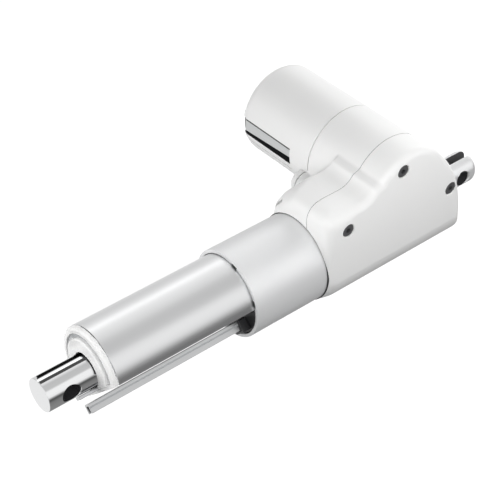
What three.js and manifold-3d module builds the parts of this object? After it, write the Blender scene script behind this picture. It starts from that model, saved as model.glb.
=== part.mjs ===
// Linear actuator with a right-angle worm drive. Millimetres, +X runs from the rear pin hole
// along the spindle towards the rod end, +Z is up, the motor lies along -Y.
import * as THREE from 'three';
import { ConvexGeometry } from 'three/addons/geometries/ConvexGeometry.js';
import { mergeVertices } from 'three/addons/utils/BufferGeometryUtils.js';
import Module from 'manifold-3d';

const wasm = await Module();
wasm.setup();

// ---------------------------------------------------------------- driving dimensions
const gap = 0.3;                 // clearance between neighbouring pieces
const stroke = 115;

const rodRadius = 10;
const rodTip = 302;
const rodRear = 128.3;
const rodBoreRadius = 7.4;
const rodBoreEnd = 268;
const pinHoleRadius = 5;
const rodHoleX = 288;

const innerRadius = 24.6;        // inner tube: round, with one flat along its length
const innerWall = 1.6;
const innerFront = 268;
const innerRear = 105.5;
const flatAngle = -45;           // the way the flat faces, from +Y towards +Z
const flatDistance = 14;

const outerRadius = 27.1;
const outerBore = innerRadius + gap;
const outerFront = 177.5;
const tubeRear = 105.3;

const motorX = 65;               // the motor axis lies along Y
const motorZ = 31.5;
const motorRadius = 29;
const motorEnd = -91.5;
const motorSeam = -28.5;

const splitY = 9;                // parting plane of the gear housing
const faceY = 28.8;              // flat side of the housing cover
const backY = -28;               // far side of the gear block
const housingFront = 127;
const housingRear = 20;
const housingTop = 42;
const housingRound = 29.3;       // lower edges follow the tube
const frontRound = 9;            // rounding of the housing's front edges
const faceRound = 4.5;           // rounding around the cover's flat side
const seam = 0.25;               // open line between two shells

const clevisEnd = -13.5;
const clevisFront = 44;

const wheelTeeth = 29;
const wheelPitchRadius = 22.6;
const wheelWidth = 12;
const toothOut = 1.3;            // tooth height outside and inside the pitch circle
const toothIn = 1.6;
const wormRadius = motorZ - wheelPitchRadius;
const wormPitch = (2 * Math.PI * wheelPitchRadius) / wheelTeeth;
const spindleCrest = 6;
const spindleCore = 4.6;
const spindlePitch = 10;
const spindleEnd = 252;

// ---------------------------------------------------------------- small helpers
const rad = (degrees) => (degrees * Math.PI) / 180;
const polar = (r, degrees) => [r * Math.cos(rad(degrees)), r * Math.sin(rad(degrees))];

function solid(geometry) {
  const plain = geometry.clone();
  plain.deleteAttribute('normal');
  plain.deleteAttribute('uv');
  const welded = mergeVertices(plain, 1e-5);
  return new wasm.Manifold(new wasm.Mesh({
    numProp: 3,
    vertProperties: new Float32Array(welded.attributes.position.array),
    triVerts: new Uint32Array(welded.index.array),
  }));
}

const join = (first, ...rest) => rest.reduce((sum, next) => sum.add(next), first);
const cut = (first, ...rest) => rest.reduce((sum, next) => sum.subtract(next), first);

function box(x0, x1, y0, y1, z0, z1) {
  const geometry = new THREE.BoxGeometry(x1 - x0, y1 - y0, z1 - z0);
  geometry.translate((x0 + x1) / 2, (y0 + y1) / 2, (z0 + z1) / 2);
  return solid(geometry);
}

// Moves a geometry built along +Z so that its length lies along X or along Y.
const zToX = new THREE.Matrix4().set(0, 0, 1, 0, 1, 0, 0, 0, 0, 1, 0, 0, 0, 0, 0, 1);
const zToY = new THREE.Matrix4().set(0, 1, 0, 0, 0, 0, 1, 0, 1, 0, 0, 0, 0, 0, 0, 1);

// A turned piece from [radius, station] points; a profile that starts and ends on the axis is solid.
function turned(profile, sides) {
  const points = profile.map(([r, s]) => new THREE.Vector2(r, s));
  const geometry = new THREE.LatheGeometry(points, sides);
  geometry.rotateX(Math.PI / 2);
  return geometry;
}

function closeProfile(profile) {
  const onAxis = profile[0][0] === 0 && profile[profile.length - 1][0] === 0;
  const ring = onAxis ? profile : [...profile, profile[0]];
  let area = 0;
  for (let i = 0; i < ring.length - 1; i += 1) {
    area += ring[i][0] * ring[i + 1][1] - ring[i + 1][0] * ring[i][1];
  }
  return area < 0 ? ring.slice().reverse() : ring;
}

function turnedX(profile, sides = 32) {
  return solid(fixFaces(turned(closeProfile(profile), sides).applyMatrix4(zToX)));
}

function turnedY(profile, x, z, sides = 32) {
  const geometry = fixFaces(turned(closeProfile(profile), sides).applyMatrix4(zToY));
  geometry.translate(x, 0, z);
  return solid(geometry);
}

// Turns every triangle over when the closed geometry encloses a negative volume.
function fixFaces(geometry) {
  const p = geometry.attributes.position;
  const index = geometry.index;
  const a = new THREE.Vector3();
  const b = new THREE.Vector3();
  const c = new THREE.Vector3();
  let volume = 0;
  for (let i = 0; i < index.count; i += 3) {
    a.fromBufferAttribute(p, index.getX(i));
    b.fromBufferAttribute(p, index.getX(i + 1));
    c.fromBufferAttribute(p, index.getX(i + 2));
    volume += a.dot(b.cross(c));
  }
  if (volume < 0) {
    for (let i = 0; i < index.count; i += 3) {
      const kept = index.getX(i);
      index.setX(i, index.getX(i + 2));
      index.setX(i + 2, kept);
    }
  }
  return geometry;
}

const rodX = (r, x0, x1, y = 0, z = 0, sides = 32) =>
  turnedX([[0, x0], [r, x0], [r, x1], [0, x1]], sides).translate([0, y, z]);
const ringX = (r0, r1, x0, x1, sides = 32) => turnedX([[r0, x0], [r1, x0], [r1, x1], [r0, x1]], sides);
const rodY = (r, y0, y1, x, z, sides = 32) => turnedY([[0, y0], [r, y0], [r, y1], [0, y1]], x, z, sides);
const ringY = (r0, r1, y0, y1, x, z, sides = 32) =>
  turnedY([[r0, y0], [r1, y0], [r1, y1], [r0, y1]], x, z, sides);

function extruded(points, depth, bevel) {
  const shape = new THREE.Shape(points.map(([u, v]) => new THREE.Vector2(u, v)));
  return new THREE.ExtrudeGeometry(shape, {
    depth: depth - 2 * bevel,
    bevelEnabled: bevel > 0,
    bevelSize: bevel,
    bevelThickness: bevel,
    bevelOffset: -bevel,
    bevelSegments: 3,
    steps: 1,
  }).translate(0, 0, bevel);
}

// A profile of [y, z] points drawn along X, and one of [x, z] points drawn along Y.
function profileX(points, x0, x1, bevel = 0) {
  const geometry = extruded(points, x1 - x0, bevel).applyMatrix4(zToX);
  return solid(weld(geometry)).translate([x0, 0, 0]);
}

function profileY(points, y0, y1, bevel = 0) {
  const flipped = points.map(([x, z]) => [z, x]);
  const geometry = extruded(flipped, y1 - y0, bevel).applyMatrix4(zToY);
  return solid(weld(geometry)).translate([0, y0, 0]);
}

function weld(geometry) {
  geometry.deleteAttribute('normal');
  geometry.deleteAttribute('uv');
  return fixFaces(mergeVertices(geometry, 1e-4));
}

function arc(cx, cy, r, from, to, steps) {
  return Array.from({ length: steps + 1 }, (_, i) => {
    const [dx, dy] = polar(r, from + ((to - from) * i) / steps);
    return [cx + dx, cy + dy];
  });
}

// The section of a round bar or bore with one flat, as [y, z] points.
function flattedCircle(r, distance, steps = 30) {
  const half = (Math.acos(distance / r) * 180) / Math.PI;
  return arc(0, 0, r, flatAngle + half, flatAngle + 360 - half, steps);
}

// Turns a solid about the X axis from "facing +Y" to facing the given direction.
const aroundX = (piece, degrees) => piece.rotate([degrees, 0, 0]);

const colours = {
  shell: 0xf4f4f2,
  plastic: 0xd9dadb,
  dark: 0x3b3d40,
  aluminium: 0xc3c5c7,
  chrome: 0xdedfe1,
  steel: 0xa9adb1,
  bronze: 0xb28a4a,
  copper: 0xb56d3c,
  board: 0x2f6b45,
  magnet: 0x55585c,
};

const group = new THREE.Group();
group.name = 'linear_actuator';

function add(name, piece, colour, metalness = 0, roughness = 0.5) {
  const mesh = piece.getMesh();
  const geometry = new THREE.BufferGeometry();
  geometry.setAttribute('position', new THREE.BufferAttribute(new Float32Array(mesh.vertProperties), 3));
  geometry.setIndex(new THREE.BufferAttribute(new Uint32Array(mesh.triVerts), 1));
  geometry.computeVertexNormals();
  const material = new THREE.MeshStandardMaterial({ color: colour, metalness, roughness });
  material.name = `${name}_material`;
  const node = new THREE.Mesh(geometry, material);
  node.name = name;
  group.add(node);
}

// ---------------------------------------------------------------- gear housing
const saddleX = 103;              // the saddle between block and motor lobe ends here
const blockStart = 107.5;

// Side outline behind the front block as [x, z]: rear corner, saddle, motor lobe, sloping back.
const housingOutline = [
  ...arc(housingRear + 12, -housingRound + 12, 12, 180, 270, 3),
  [blockStart, -housingRound],
  [blockStart, housingTop],
  ...arc(saddleX, housingTop + 12, 12, 270, 212, 3),
  ...arc(motorX, motorZ, motorRadius, 37.5, 142.5, 14),
  [33, 38],
  [26, 25],
  [housingRear + 1.5, 10],
];

// Cross-section of the gear housing as [y, z]: flat cover side, round lower edges, back falling away.
const roundSide = (Math.acos(faceY / housingRound) * 180) / Math.PI;
const lowerEdge = arc(0, 0, housingRound, 252, 360 - roundSide, 8);
const backEdge = [
  [-10, housingTop],
  [-13.8, 38.8],
  [-19.5, 32],
  [-25, 23],
  [backY, 10],
  [backY, -8.6],
  ...arc(0, 0, housingRound, 200, 240, 3),
];
const housingSection = [
  ...lowerEdge,
  [faceY, motorZ + motorRadius + 1],
  [-8, motorZ + motorRadius + 1],
  [-8.4, 50],
  [-9, 45],
  ...backEdge,
];
const blockSection = [
  ...lowerEdge,
  ...arc(faceY - faceRound, housingTop - faceRound, faceRound, 0, 90, 3),
  ...backEdge,
];

// The front block: its section drawn forward, ending in the hull of balls set round the front edge.
const innerRound = housingRound - frontRound;
const ballCentres = [
  ...arc(0, 0, innerRound, 200, 347, 9),
  [faceY - frontRound, housingTop - frontRound],
  [-4.5, housingTop - frontRound - 1],
  [-10.5, 28],
  [-15, 21],
  [backY + frontRound, 6],
];
const blockPoints = [];
[90, blockStart].forEach((x) => blockSection.forEach(([y, z]) => blockPoints.push(new THREE.Vector3(x, y, z))));
ballCentres.forEach(([y, z]) => {
  [0, 22.5, 45, 67.5].forEach((angle) => {
    const [out, forward] = polar(frontRound, angle);
    arc(y, z, out, 0, 345, 23).forEach(([py, pz]) => {
      blockPoints.push(new THREE.Vector3(housingFront - frontRound + forward, py, pz));
    });
  });
  blockPoints.push(new THREE.Vector3(housingFront, y, z));
});
const frontBlock = solid(weld(new ConvexGeometry(blockPoints)));

const screwSites = [[113, 29.5], [32, 19.5], [72.5, 51]];
const socketRadius = outerRadius + gap;
const gasketRadius = outerRadius + 1.2;
const gasketRear = 119.3;
const columnRadius = 5;
const shellInside = motorRadius - 3.5;
const bearingFrontX = 75;
const bearingRearX = 47.6;
const headTop = faceY - 1.4;
const headBottom = faceY - 6;
const plugX = 95;
const plugZ = 20.8;
const plugRadius = 7.2;
const headRadius = 4;

// The cable plug sits in a round socket beside the motor, and both are cut away to clear it.
const motorSpace = rodY(motorRadius + 0.6, -40, motorSeam - 0.2, motorX, motorZ, 48);
const plugSocket = cut(rodY(plugRadius + 0.5, -29.5, -22, plugX, plugZ, 32), motorSpace);
const housingOuter = join(
  profileY(housingOutline, backY, faceY, faceRound).intersect(profileX(housingSection, 0, 140)),
  frontBlock,
  rodY(motorRadius, motorSeam, 8, motorX, motorZ, 48),
  plugSocket,
);

const motorChamber = cut(
  rodY(shellInside, -14, faceY - 4, motorX, motorZ, 32),
  rodY(columnRadius, -15, faceY, screwSites[2][0], screwSites[2][1], 16),
  ringY(8.2, 10.5, 18.5, faceY, motorX, motorZ, 24),
);
const housingInside = join(
  motorChamber,
  rodX(wheelPitchRadius + 2.8, 56, 74.5),
  rodX(13 + gap, bearingRearX - gap, 57),
  rodX(15 + gap, 74, 84.3),
  rodX(7, 43, 108, 0, 0, 24),
  rodX(22, 88, 106),
  rodX(socketRadius, 105, 128, 0, 0, 48),
  rodX(gasketRadius + gap, gasketRear - gap, 128, 0, 0, 48),
  rodX(rodRadius + gap, 0, clevisFront + gap),
  rodX(14 + gap, 30 - gap, 36 + gap),
  rodY(24.6, -30, -20.3, motorX, motorZ, 32),
  rodY(9, -21, -13, motorX, motorZ, 24),
  rodY(3.5 + gap, -30, -26 + gap, plugX, plugZ, 24),
);
const screwHoles = screwSites.map(([x, z]) => rodY(2.2, -3, headBottom, x, z, 12));
const screwPockets = screwSites.map(([x, z]) => rodY(headRadius + gap, headBottom - gap, faceY + 1, x, z, 20));
const frontSlot = aroundX(box(121.5, 130, 30.5, 32.1, -14.6, -2.6), 139);

const housingSolid = cut(housingOuter, housingInside, frontSlot, ...screwHoles, ...screwPockets);
add('housing_body', housingSolid.intersect(box(0, 140, -60, splitY, -60, 90)), colours.shell);
add('housing_cover', housingSolid.intersect(box(0, 140, splitY + seam, 60, -60, 90)), colours.shell);

add('connector_insert', join(
  cut(turnedY([[0, -34.8], [plugRadius - 2, -34.8], [plugRadius, -32.8], [plugRadius, -29.8], [0, -29.8]], plugX, plugZ), motorSpace),
  cut(rodY(3.5, -30.2, -26, plugX, plugZ, 24), motorSpace),
), colours.plastic);

screwSites.forEach(([x, z], i) => {
  const screw = turnedY([
    [0, -2], [1.9, -2], [1.9, headBottom], [headRadius, headBottom], [headRadius, headTop], [0, headTop],
  ], x, z, 18);
  add(`cover_screw_${i + 1}`, cut(screw, rodY(1.7, headTop - 2, headTop + 1, x, z, 6)), colours.steel, 1, 0.35);
});

// ---------------------------------------------------------------- motor
const coverStart = motorSeam - seam;
const recessFloor = motorX + 25.7;
const recessEnd = -44.5;
const recessLow = 25;
const recessHigh = 36.3;
const motorShell = turnedY([
  [0, motorEnd], [motorRadius - 8, motorEnd + 0.4],
  ...arc(motorRadius - 7, motorEnd + 7.6, 7, 270, 360, 4),
  [motorRadius, coverStart], [shellInside + 0.4, coverStart], [shellInside + 0.4, motorEnd + 6],
  [shellInside - 3, motorEnd + 3], [0, motorEnd + 3],
], motorX, motorZ, 48);
const recessBacking = box(motorX + 23.7, motorX + 28, motorEnd + 3, recessEnd + 3, 18, 40)
  .intersect(rodY(motorRadius - 1, motorEnd + 2, recessEnd + 6, motorX, motorZ, 48));
const slotLow = recessLow + 0.9;
const slotHigh = recessLow + 3.2;
add('motor_cover', cut(
  join(motorShell, recessBacking),
  box(recessFloor, 100, motorEnd - 1, recessEnd, recessLow, recessHigh),
  profileX([[-85, recessLow], [recessEnd, recessLow], [recessEnd, slotHigh], [-85, slotLow]], 87, 91),
  box(motorX + 25.7, 100, motorEnd - 1, recessEnd, 20.4, 21.2),
), colours.shell);

// The cable channel's lower edge rises towards the housing, so the slot under it opens wider there.
add('cable_channel', profileX([
  [-87.6, slotLow], [recessEnd - gap, slotHigh], [recessEnd - gap, recessHigh - gap], [-87.6, recessHigh - gap],
], recessFloor + 0.1, recessFloor + 1.4), colours.plastic);

add('motor_can', turnedY([
  [21, -31.5], [22.5, -31.5], [22.5, -86.5], [5, -86.5], [5, -85.2], [21, -85.2],
], motorX, motorZ, 32), colours.steel, 1, 0.4);
add('motor_end_plate', ringY(9.5, 24.2, -31.2, -27.5, motorX, motorZ, 32), colours.dark);

const magnetRing = ringY(17.4, 20.7, -78, -40, motorX, motorZ, 32);
[1, -1].forEach((side, i) => {
  const half = box(motorX + (side > 0 ? 7 : -30), motorX + (side > 0 ? 30 : -7), -85, -30, 0, 60);
  add(`magnet_${i + 1}`, magnetRing.intersect(half), colours.magnet, 0.6, 0.5);
});

const armatureSlots = Array.from({ length: 9 }, (_, i) => box(-1.2, 1.2, -85, -30, 8, 20).rotate([0, i * 40, 0])
  .translate([motorX, 0, motorZ]));
add('armature_core', cut(ringY(2.5, 16.6, -75, -43, motorX, motorZ, 36), ...armatureSlots), colours.steel, 1, 0.5);
add('winding_front', ringY(6, 13, -42.7, -39.5, motorX, motorZ, 24), colours.copper, 1, 0.4);
add('winding_rear', ringY(2.5, 13, -79, -75.3, motorX, motorZ, 24), colours.copper, 1, 0.4);
add('commutator', ringY(2.5, 5.7, -42, -34, motorX, motorZ, 18), colours.copper, 1, 0.3);
[1, -1].forEach((side, i) => {
  const near = motorX + side * 6.1;
  const far = motorX + side * 13;
  add(`brush_${i + 1}`, box(Math.min(near, far), Math.max(near, far), -38.5, -35, motorZ - 2, motorZ + 2),
    colours.dark);
});
add('motor_bearing_front', ringY(3.9, 8.7, -20, -15, motorX, motorZ, 24), colours.steel, 1, 0.35);
add('motor_bearing_rear', ringY(2.5, 7.5, -84.9, -80, motorX, motorZ, 24), colours.steel, 1, 0.35);
add('worm_bearing', ringY(3.4, 7.9, 19, 24.4, motorX, motorZ, 24), colours.steel, 1, 0.35);

// ---------------------------------------------------------------- worm drive
// A screw thread about +Z: a trapezium swept along a right-hand helix.
function thread(core, crest, pitch, rootHalf, crestHalf, from, to, sides) {
  const steps = Math.round(((to - from) / pitch) * sides);
  const vertices = [];
  const faces = [];
  for (let i = 0; i <= steps; i += 1) {
    const angle = ((from / pitch) + i / sides) * 2 * Math.PI;
    const along = from + (i * pitch) / sides;
    const section = [[core - 0.5, -rootHalf], [crest, -crestHalf], [crest, crestHalf], [core - 0.5, rootHalf]];
    section.forEach(([r, s]) => vertices.push(r * Math.cos(angle), r * Math.sin(angle), along + s));
  }
  for (let i = 0; i < steps; i += 1) {
    for (let k = 0; k < 4; k += 1) {
      const a = i * 4 + k;
      const b = i * 4 + ((k + 1) % 4);
      faces.push(a, b, b + 4, a, b + 4, a + 4);
    }
  }
  const last = steps * 4;
  faces.push(0, 2, 1, 0, 3, 2, last, last + 1, last + 2, last, last + 2, last + 3);
  const geometry = new THREE.BufferGeometry();
  geometry.setAttribute('position', new THREE.Float32BufferAttribute(vertices, 3));
  geometry.setIndex(faces);
  return geometry;
}

const wormRoot = wormRadius - toothIn;
const wormThread = solid(fixFaces(
  thread(wormRoot, wormRadius + toothOut, wormPitch, 1.55, 0.55, -wormPitch * 2.5, wormPitch * 2.5, 16)
    .applyMatrix4(zToY),
)).translate([motorX, 0, motorZ]);
add('worm_shaft', join(
  turnedY([
    [0, -84.5], [2.2, -84.5], [2.2, -20.5], [3.6, -20.5], [3.6, -14.5], [wormRoot, -13.5],
    [wormRoot, 14], [3.1, 15], [3.1, 24], [0, 24],
  ], motorX, motorZ, 16),
  wormThread,
), colours.steel, 1, 0.3);

const toothAngle = 360 / wheelTeeth;
const wheelOutline = Array.from({ length: wheelTeeth }, (_, i) => {
  const middle = 90 + i * toothAngle;
  const root = wheelPitchRadius - toothIn;
  const tip = wheelPitchRadius + toothOut;
  return [polar(root, middle - 3.9), polar(tip, middle - 1.5), polar(tip, middle + 1.5), polar(root, middle + 3.9)];
}).flat();
const wormLead = Math.atan(wormPitch / (2 * Math.PI * wormRadius));
const wheelBlank = extruded(wheelOutline, wheelWidth, 0);
const blankPoints = wheelBlank.attributes.position;
for (let i = 0; i < blankPoints.count; i += 1) {
  const offset = blankPoints.getZ(i) - wheelWidth / 2;
  const turn = (offset * Math.tan(wormLead)) / wheelPitchRadius;
  const [u, v] = [blankPoints.getX(i), blankPoints.getY(i)];
  blankPoints.setX(i, u * Math.cos(turn) - v * Math.sin(turn));
  blankPoints.setY(i, u * Math.sin(turn) + v * Math.cos(turn));
}
const wheelX = motorX - wheelWidth / 2;
const webHoles = Array.from({ length: 6 }, (_, i) => {
  const [y, z] = polar(14, i * 60);
  return rodX(3, wheelX - 1, wheelX + wheelWidth + 1, y, z, 12);
});
add('worm_wheel', cut(
  solid(weld(wheelBlank.applyMatrix4(zToX))).translate([wheelX, 0, 0]),
  rodX(5.9, 50, 80, 0, 0, 24),
  ...webHoles,
), colours.bronze, 0.4, 0.5);

const spindleThread = solid(fixFaces(
  thread(spindleCore, spindleCrest, spindlePitch, 2.8, 1.6, 105, 245, 10).applyMatrix4(zToX),
));
add('spindle', join(
  turnedX([
    [0, 47], [5.6, 47], [5.6, 92], [spindleCore, 95], [spindleCore, spindleEnd], [0, spindleEnd],
  ], 20),
  spindleThread,
), colours.steel, 1, 0.3);
add('spindle_bush', ringX(spindleCore + gap, rodBoreRadius - gap, 247.5, 251.5, 20), colours.plastic);
add('spindle_bearing_rear', ringX(5.9, 13, bearingRearX, 55, 28), colours.steel, 1, 0.35);
add('spindle_bearing_front', ringX(5.9, 15, bearingFrontX, 84, 28), colours.steel, 1, 0.35);

// ---------------------------------------------------------------- tubes
const flat = (piece) => aroundX(piece, flatAngle);    // built facing +Y, turned to the flat's side
const railInner = flatDistance + 2;
const railOuter = flatDistance + 7.4;
const railHalf = 2.8;
const railFront = 281.5;
const railRear = 150;

const latchSlot = aroundX(box(161, 164.5, 20, 30, -0.7, 0.7), -38);
const keySlots = [74, 19].map((angle) => aroundX(box(outerFront - 6.5, outerFront + 1, 24, 26.2, -2.2, 2.2), angle));
add('outer_tube', cut(
  turnedX([
    [outerBore, tubeRear], [outerRadius, tubeRear], [outerRadius, outerFront - 0.5],
    [outerRadius - 0.5, outerFront], [outerBore, outerFront],
  ], 48),
  latchSlot,
  ...keySlots,
), colours.aluminium, 1, 0.35);
[74, 19].forEach((angle, i) => {
  add(`tube_key_${i + 1}`, aroundX(box(outerFront - 6.2, outerFront - 0.1, outerBore + 0.1, 25.9, -1.9, 1.9), angle),
    colours.dark);
});
add('tube_gasket', turnedX([
  [outerRadius + 0.1, gasketRear], [gasketRadius, gasketRear], [gasketRadius, 122], [outerRadius + 0.3, 128],
  [outerRadius + 0.1, 128],
], 48), colours.dark);

const innerBore = innerRadius - innerWall;
const innerFlat = flatDistance - innerWall;
add('inner_tube', cut(
  profileX(flattedCircle(innerRadius, flatDistance, 40), innerRear, innerFront),
  profileX(flattedCircle(innerBore, innerFlat, 40), innerRear - 1, innerFront + 1),
), colours.aluminium, 1, 0.35);

add('profile_filler', cut(
  profileX(arc(0, 0, outerBore - gap, flatAngle - 53, flatAngle + 53, 16), 108, outerFront - 1.5),
  flat(box(100, 180, 0, flatDistance + gap, -30, 30)),
  flat(box(railRear - 1, 180, 10, railOuter + gap, -railHalf - gap, railHalf + gap)),
), colours.dark);

add('cable_rail', flat(cut(
  box(railRear, railFront, railInner, railOuter, -railHalf, railHalf),
  box(railRear - 1, railFront + 1, railInner + 1.2, railOuter + 1, -railHalf + 1.2, railHalf - 1.2),
)), colours.aluminium, 1, 0.4);
add('rail_clip', flat(cut(
  box(outerFront - 1.2, outerFront + 4, railInner, railOuter + 1.8, -railHalf - 1.8, railHalf + 1.8),
  box(outerFront - 2, outerFront + 5, railInner - 3, railOuter + gap, -railHalf - gap, railHalf + gap),
)), colours.dark);

// ---------------------------------------------------------------- front end
const capFront = innerFront + gap + 3.2;
const capRear = innerFront - 12;
const barInner = rodRadius + gap;
const barOuter = barInner + 1.8;
const barHalf = 2.5;
const barSlot = flat(box(200, 300, 0, barOuter + gap, -barHalf - gap, barHalf + gap));
const collarFlat = flatDistance - 2.4;
const outsideFlat = (distance) => flat(box(200, 300, distance, 60, -60, 60));
const capGroove = cut(ringX(18.6, 20.8, capFront - 1.6, capFront + 3, 40), outsideFlat(collarFlat));
const capFlange = turnedX([
  [0, innerFront + gap], [innerRadius, innerFront + gap], [innerRadius, capFront - 0.9],
  [innerRadius - 0.9, capFront], [0, capFront],
], 48);
const capCollar = turnedX([
  [0, capFront - 2], [18.4, capFront - 2], [18.4, capFront + 0.4], [17.9, capFront + 0.9], [0, capFront + 0.9],
], 40);
add('end_cap', cut(
  join(
    cut(capFlange, outsideFlat(flatDistance)),
    cut(capCollar, outsideFlat(collarFlat)),
    cut(rodX(innerBore - gap, capRear, innerFront + 1, 0, 0, 40), outsideFlat(innerFlat - gap)),
  ),
  rodX(rodRadius + gap, 240, 290),
  rodX(12, capFront - 2.2, 290),
  barSlot,
  capGroove,
), colours.shell);
add('rod_wiper', cut(ringX(rodRadius + gap, 11.7, capFront - 2, capFront + 0.6), barSlot), colours.dark);

const rodHole = turnedY([
  [0, -12], [7.2, -12], [pinHoleRadius, -8.4], [pinHoleRadius, 8.4], [7.2, 12], [0, 12],
], rodHoleX, 0, 24);
add('piston_rod', cut(
  turnedX([
    [0, rodBoreEnd], [rodBoreRadius, rodBoreEnd], [rodBoreRadius, rodRear], [rodRadius, rodRear],
    [rodRadius, rodTip - 0.7], [rodRadius - 0.7, rodTip], [0, rodTip],
  ], 40),
  rodHole,
), colours.chrome, 1, 0.1);
add('guide_bar', flat(box(118, 284, barInner, barOuter, -barHalf, barHalf)), colours.steel, 1, 0.35);

add('drive_nut', cut(
  profileX(flattedCircle(innerBore - gap, innerFlat - gap, 24), 116, 136),
  box(110, 140, -30, 30, 15.2, 30),
  rodX(spindleCrest + gap, 100, 140, 0, 0, 24),
  rodX(rodRadius + gap, 128, 140, 0, 0, 32),
  flat(box(110, 140, 9, 20, -barHalf - gap, barHalf + gap)),
), colours.plastic);

// ---------------------------------------------------------------- switches and rear clevis
add('switch_board', box(112, 255, -5, 5, 20, 21.2), colours.board);
add('limit_switch_rear', box(120, 132, -3.2, 3.2, 15.8, 19.7), colours.dark);
add('limit_switch_front', box(238, 250, -3.2, 3.2, 15.8, 19.7), colours.dark);

const clevisRound = 5.5;
const clevisHole = turnedY([
  [0, -12], [7, -12], [pinHoleRadius, -8.6], [pinHoleRadius, 8.6], [7, 12], [0, 12],
], 0, 0, 24);
add('rear_clevis', cut(
  turnedX([
    [0, clevisEnd], ...arc(rodRadius - clevisRound, clevisEnd + clevisRound, clevisRound, 270, 360, 5),
    [rodRadius, 30], [14, 30], [14, 36], [rodRadius, 36], [rodRadius, clevisFront], [0, clevisFront],
  ], 32),
  clevisHole,
  box(clevisEnd - 1, 12, -3, 3, -12, 12),
), colours.steel, 1, 0.3);

export default group;
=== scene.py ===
"""Looks of a worm-drive linear actuator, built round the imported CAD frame.

Lengths are in millimetres until a mesh is made. +X runs from the rear pin hole to the rod end, +Z is up
and the motor lies along -Y.
"""

import math

import bmesh
import bpy
from mathutils import Matrix, Vector


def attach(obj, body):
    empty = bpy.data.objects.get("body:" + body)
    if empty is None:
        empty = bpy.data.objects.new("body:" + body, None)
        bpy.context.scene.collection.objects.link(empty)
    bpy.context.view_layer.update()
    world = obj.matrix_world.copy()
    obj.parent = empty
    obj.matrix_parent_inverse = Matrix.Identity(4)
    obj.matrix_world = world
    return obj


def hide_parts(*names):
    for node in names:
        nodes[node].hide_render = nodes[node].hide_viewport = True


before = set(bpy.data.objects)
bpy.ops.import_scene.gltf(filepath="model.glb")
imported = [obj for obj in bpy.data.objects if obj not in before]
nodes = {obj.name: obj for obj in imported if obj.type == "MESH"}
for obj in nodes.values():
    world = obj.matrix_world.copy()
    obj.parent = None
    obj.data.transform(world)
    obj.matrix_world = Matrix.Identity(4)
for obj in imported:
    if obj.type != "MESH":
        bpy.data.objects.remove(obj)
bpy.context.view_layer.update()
scene = bpy.context.scene

# ------------------------------------------------------------------ dimensions, as in the CAD part
MM = 0.001
GAP = 0.3
ROD_R, ROD_TIP, ROD_REAR, ROD_HOLE_X = 10, 302, 128.3, 288
ROD_BORE_R, ROD_BORE_END = 7.4, 268
PIN_R = 5
INNER_R, INNER_WALL, INNER_REAR, INNER_FRONT = 24.6, 1.6, 105.5, 268
FLAT_ANGLE, FLAT_AT = -45, 14
OUTER_R, OUTER_BORE, OUTER_FRONT, OUTER_REAR = 27.1, 24.9, 177.5, 105.3
MOTOR_X, MOTOR_Z, MOTOR_R, MOTOR_END, MOTOR_SEAM = 65, 31.5, 29, -91.5, -28.5
MOTOR_SHELL_R, COLUMN_R = MOTOR_R - 3.5, 5
END_PLATE_R, END_PLATE_SEAT = 24.6, -20.3
WORM_SEAT_R, WORM_SEAT_REAR, WORM_SEAT_FRONT = 9, -21, -13
SPLIT_Y, FACE_Y, BACK_Y, SEAM, MOTOR_GAP = 9, 28.8, -28, 0.24, 0.06
HOUSING_FRONT, HOUSING_REAR, HOUSING_TOP, HOUSING_R = 127, 20, 42, 29.3
FRONT_ROUND, FACE_ROUND, LIP_ROUND, LIP_R = 9, 4.5, 1.5, 26.3
SADDLE_X, BLOCK_START = 103, 107.5
SCREW_SITES = [(113, 29.5), (32, 19.5), (72.5, 51)]
HEAD_TOP, HEAD_BOTTOM, HEAD_R = FACE_Y - 0.4, FACE_Y - 6, 4
PLUG_X, PLUG_Z, PLUG_R, PLUG_PIN_R, PLUG_ROUND = 95, 20.8, 7.2, 3.5, 2.4
PLUG_OUT, PLUG_SEAT, PLUG_ROOT = -34.8, -30.2, -26
SHANK_R, SHANK_END, SCREW_HOLE_R, SCREW_HOLE_END, HEX_R = 1.9, -2, 2.2, -3, 1.7
SOCKET_R = OUTER_R + GAP
SEAL_R, SEAL_REAR, SEAL_FRONT = OUTER_R + 0.55, 119.3, 126.7
CAP_FRONT = INNER_FRONT + GAP + 3.2
RECESS_FLOOR, RECESS_END, RECESS_LOW, RECESS_HIGH = MOTOR_X + 25.7, -44.5, 25, 36.3
CASING_LINE_LOW, CASING_LINE_HIGH = 20.4, 21.2
CLEVIS_END, CLEVIS_FRONT, CLEVIS_ROUND = -13.5, 44, 5.5
CLEVIS_COLLAR_R, CLEVIS_COLLAR_REAR, CLEVIS_COLLAR_FRONT = 14, 30, 36
FORK_SLOT_HALF, FORK_SLOT_DEPTH = 3, 12
KEY_ANGLES = (74, 19)
RAIL_IN, RAIL_OUT, RAIL_HALF, RAIL_REAR, RAIL_FRONT = FLAT_AT + 2, FLAT_AT + 7.4, 2.8, 150, 281.5
RAIL_GROOVE_LOW, RAIL_GROOVE_HIGH, RAIL_GROOVE_DEPTH = RAIL_IN + 1.6, RAIL_IN + 2.5, 0.45
BAR_IN, BAR_OUT, BAR_HALF = ROD_R + GAP, ROD_R + GAP + 1.8, 2.5
COLLAR_FLAT, COLLAR_R, COLLAR_ROUND = FLAT_AT - 2.4, 18.4, 1.2
FLANGE_FRONT, FLANGE_ROUND, WIPER_R = CAP_FRONT - 0.4, 2.4, ROD_R + 0.6
CAP_GROOVE_R, CAP_GROOVE_FLOOR = 20.8, CAP_FRONT - 1.4

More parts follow.
